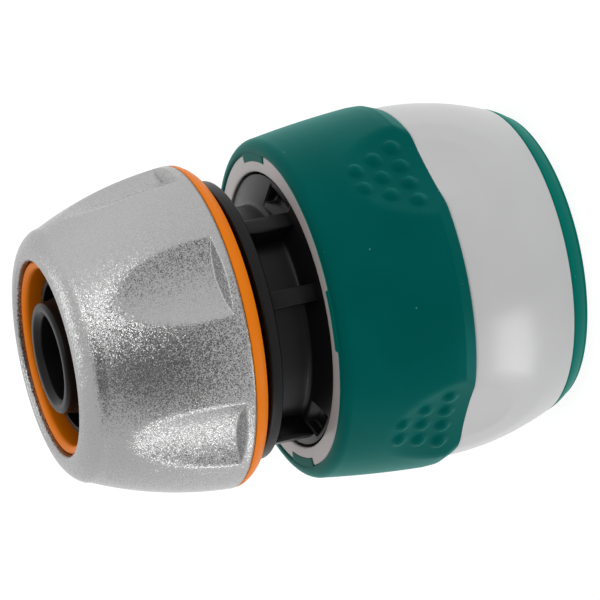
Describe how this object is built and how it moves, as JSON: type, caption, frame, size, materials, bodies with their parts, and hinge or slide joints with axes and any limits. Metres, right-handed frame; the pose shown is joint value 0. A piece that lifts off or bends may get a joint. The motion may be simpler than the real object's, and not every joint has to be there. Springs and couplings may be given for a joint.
{
  "type": "hose quick connector",
  "caption": "Push-fit garden hose connector: metal clamp nut over a barbed tail, black ribbed neck, and a spring-loaded release sleeve with a soft green band and studded finger pads.",
  "frame": {"origin": "centre of the coupling end's foot face, on the axis", "axes": "+Z along the axis from the coupling end towards the hose nut; +X through the side that is at the top of the picture; -Y towards the picture's camera"},
  "size_m": [0.0372, 0.0372, 0.0518],
  "materials": {
    "black_plastic": "moulded black plastic, satin",
    "collet_plastic": "moulded black plastic, satin",
    "orange_plastic": "moulded orange plastic, low gloss",
    "blasted_metal": "bead-blasted cast light metal",
    "grey_plastic": "moulded light grey plastic, satin gloss",
    "soft_green": "soft-touch green elastomer, satin",
    "soft_green_ring": "soft-touch green elastomer, satin",
    "spring_steel": "drawn spring wire",
    "ring_plastic": "moulded black plastic",
    "claw_plastic": "natural hard plastic"
  },
  "bodies": {
    "body": {"core_body": "black_plastic", "hose_collet": "collet_plastic", "stop_ring": "ring_plastic", "return_spring": "spring_steel"},
    "sleeve": {"sleeve_shell": "grey_plastic", "grip_band": "soft_green", "end_ring": "soft_green_ring"},
    "claw_1": {"claw_1": "claw_plastic"},
    "claw_2": {"claw_2": "claw_plastic"},
    "claw_3": {"claw_3": "claw_plastic"},
    "claw_4": {"claw_4": "claw_plastic"},
    "nut_liner": {"nut_insert": "orange_plastic"},
    "nut": {"nut_shell": "blasted_metal"}
  },
  "joints": [
    {"name": "sleeve_slide", "type": "slide", "parent": "body", "child": "sleeve", "axis": [0, 0, 1], "range_m": [0, 0.004], "stiffness_N_per_m": 1500, "springref_m": -0.006, "deforming": ["return_spring"]},
    {"name": "claw_1_spread", "type": "slide", "parent": "body", "child": "claw_1", "axis": [0.9976, -0.0698, 0], "range_m": [0, 0.0012]},
    {"name": "claw_2_spread", "type": "slide", "parent": "body", "child": "claw_2", "axis": [-0.0698, -0.9976, 0], "range_m": [0, 0.0012]},
    {"name": "claw_3_spread", "type": "slide", "parent": "body", "child": "claw_3", "axis": [-0.9976, 0.0698, 0], "range_m": [0, 0.0012]},
    {"name": "claw_4_spread", "type": "slide", "parent": "body", "child": "claw_4", "axis": [0.0698, 0.9976, 0], "range_m": [0, 0.0012]},
    {"name": "nut_travel", "type": "slide", "parent": "body", "child": "nut_liner", "axis": [0, 0, 1], "range_m": [0, 0.006]},
    {"name": "nut_turn", "type": "hinge", "parent": "nut_liner", "child": "nut", "pos_m": [0, 0, 0.036], "axis": [0, 0, 1], "range_deg": [0, 720]}
  ],
  "couplings": [
    {"joint": "claw_1_spread", "follows": "sleeve_slide", "ratio": 0.3},
    {"joint": "claw_2_spread", "follows": "sleeve_slide", "ratio": 0.3},
    {"joint": "claw_3_spread", "follows": "sleeve_slide", "ratio": 0.3},
    {"joint": "claw_4_spread", "follows": "sleeve_slide", "ratio": 0.3},
    {"joint": "nut_turn", "follows": "nut_travel", "rad_per_m": 2094.4}
  ]
}
